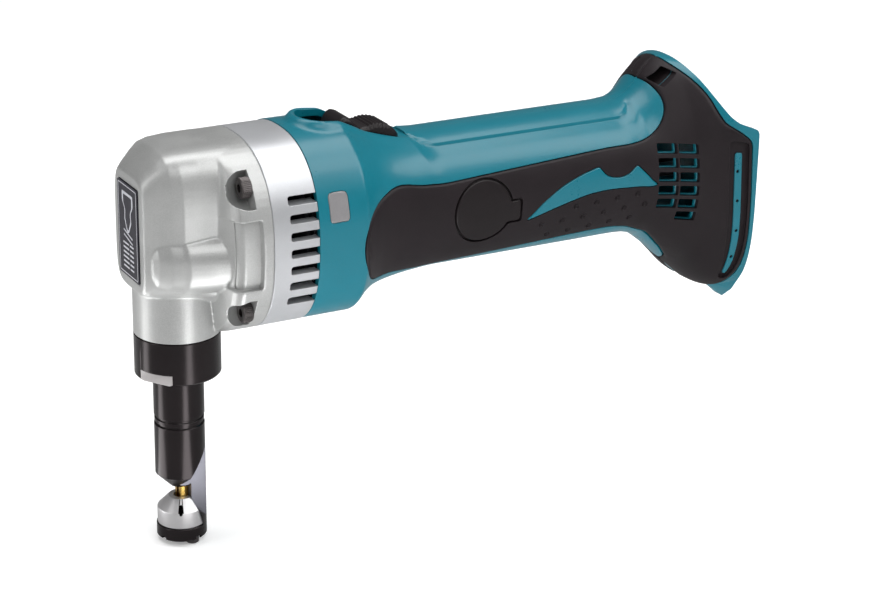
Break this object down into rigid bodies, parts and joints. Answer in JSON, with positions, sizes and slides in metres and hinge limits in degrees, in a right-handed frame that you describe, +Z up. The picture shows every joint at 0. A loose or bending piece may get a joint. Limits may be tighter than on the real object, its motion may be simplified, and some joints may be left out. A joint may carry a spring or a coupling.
{
  "type": "cordless nibbler",
  "caption": "Hand-held cordless sheet nibbler with a turning die holder, reciprocating punch, motor and gear train, slide switch and slide-on battery seat.",
  "frame": {"origin": "on the punch axis, in the plane of the lock nut's lower face, where the die holder tube leaves the nut", "axes": "+X back along the handle to the battery end, +Z up, away from the die; the tool's left side is -Y"},
  "size_m": [0.265, 0.0766, 0.1751],
  "materials": {
    "cast_housing": "satin silver paint over an aluminium casting",
    "name_plate": "satin black with a pale border",
    "teal_plastic": "semi-gloss moulded nylon",
    "grip_rubber": "matt soft elastomer",
    "lens_plastic": "smoked translucent plastic",
    "circuit_board": "solder-masked board",
    "black_plastic": "matt moulded plastic",
    "yellow_plastic": "matt moulded plastic",
    "copper": "bare copper",
    "carbon": "matt carbon",
    "spring_steel": "bright drawn wire",
    "brass": "machined brass",
    "wire_jacket": "flexible jacket",
    "motor_steel": "plated steel",
    "ferrite": "matt sintered ferrite",
    "machined_steel": "ground and machined steel",
    "gear_steel": "hardened cut steel",
    "sintered_bronze": "oiled sintered bronze",
    "black_steel": "blackened steel",
    "punch_coating": "gold-coloured hard coating on tool steel",
    "screw_steel": "black oxide steel"
  },
  "bodies": {
    "body": {"gear_housing": "cast_housing", "nameplate": "name_plate", "middle_housing": "cast_housing", "housing_left": "teal_plastic", "housing_right": "teal_plastic", "grip_left": "grip_rubber", "grip_right": "grip_rubber", "lamp_lens": "lens_plastic", "lamp_board": "circuit_board", "brush_cover_left": "grip_rubber", "brush_cover_right": "grip_rubber", "brush_caps": "black_plastic", "brush_holders": "brass", "brushes": "carbon", "brush_springs": "spring_steel", "switch_body": "black_plastic", "controller": "black_plastic", "terminal_block": "yellow_plastic", "terminal_blades": "copper", "lead_wires": "wire_jacket", "motor_yoke": "motor_steel", "magnets": "ferrite", "baffle": "black_plastic", "motor_front_bearing": "machined_steel", "motor_rear_bearing": "machined_steel", "countershaft_bushes": "sintered_bronze", "gear_plate": "motor_steel", "gear_plate_screws": "screw_steel", "crank_bearings": "machined_steel", "guide_bush": "sintered_bronze", "head_screws": "screw_steel", "shell_screws": "screw_steel"},
    "armature": {"motor_shaft": "machined_steel", "armature_core": "motor_steel", "windings": "copper", "commutator": "copper", "fan": "black_plastic"},
    "countershaft": {"countershaft": "gear_steel", "reduction_gear": "gear_steel"},
    "crank": {"crankshaft": "machined_steel", "crank_gear": "gear_steel"},
    "rod": {"connecting_rod": "gear_steel", "rod_bearing": "machined_steel"},
    "piston": {"piston": "gear_steel", "wrist_pin": "machined_steel"},
    "punch": {"punch": "punch_coating"},
    "die_head": {"die_holder": "black_steel", "die": "machined_steel", "die_screws": "screw_steel"},
    "nut": {"lock_nut": "black_steel"},
    "switch_slider": {"switch_knob": "black_plastic", "switch_lever": "black_plastic"}
  },
  "joints": [
    {"name": "motor_spin", "type": "hinge", "parent": "body", "child": "armature", "pos_m": [0.08, 0, 0.056], "axis": [1, 0, 0], "continuous": true},
    {"name": "countershaft_spin", "type": "hinge", "parent": "body", "child": "countershaft", "pos_m": [0.018, 0, 0.072], "axis": [1, 0, 0], "continuous": true},
    {"name": "crank_spin", "type": "hinge", "parent": "body", "child": "crank", "pos_m": [0, 0, 0.056], "axis": [1, 0, 0], "continuous": true},
    {"name": "rod_pivot", "type": "hinge", "parent": "crank", "child": "rod", "pos_m": [0, 0, 0.059], "axis": [1, 0, 0], "continuous": true},
    {"name": "piston_stroke", "type": "slide", "parent": "body", "child": "piston", "axis": [0, 0, -1], "range_m": [0, 0.006]},
    {"name": "die_holder_turn", "type": "hinge", "parent": "body", "child": "die_head", "pos_m": [0, 0, 0], "axis": [0, 0, 1], "range_deg": [-180, 180]},
    {"name": "punch_stroke", "type": "slide", "parent": "die_head", "child": "punch", "axis": [0, 0, -1], "range_m": [0, 0.006]},
    {"name": "lock_nut_turn", "type": "hinge", "parent": "body", "child": "nut", "pos_m": [0, 0, 0.0088], "axis": [0, 0, 1], "range_deg": [0, 360]},
    {"name": "switch_slide", "type": "slide", "parent": "body", "child": "switch_slider", "axis": [-1, 0, 0], "range_m": [0, 0.008]}
  ],
  "couplings": [
    {"joint": "countershaft_spin", "follows": "motor_spin", "ratio": -0.29032},
    {"joint": "crank_spin", "follows": "motor_spin", "ratio": 0.11012},
    {"joint": "rod_pivot", "follows": "motor_spin", "ratio": -0.11012},
    {"joint": "punch_stroke", "follows": "piston_stroke", "ratio": 1}
  ]
}
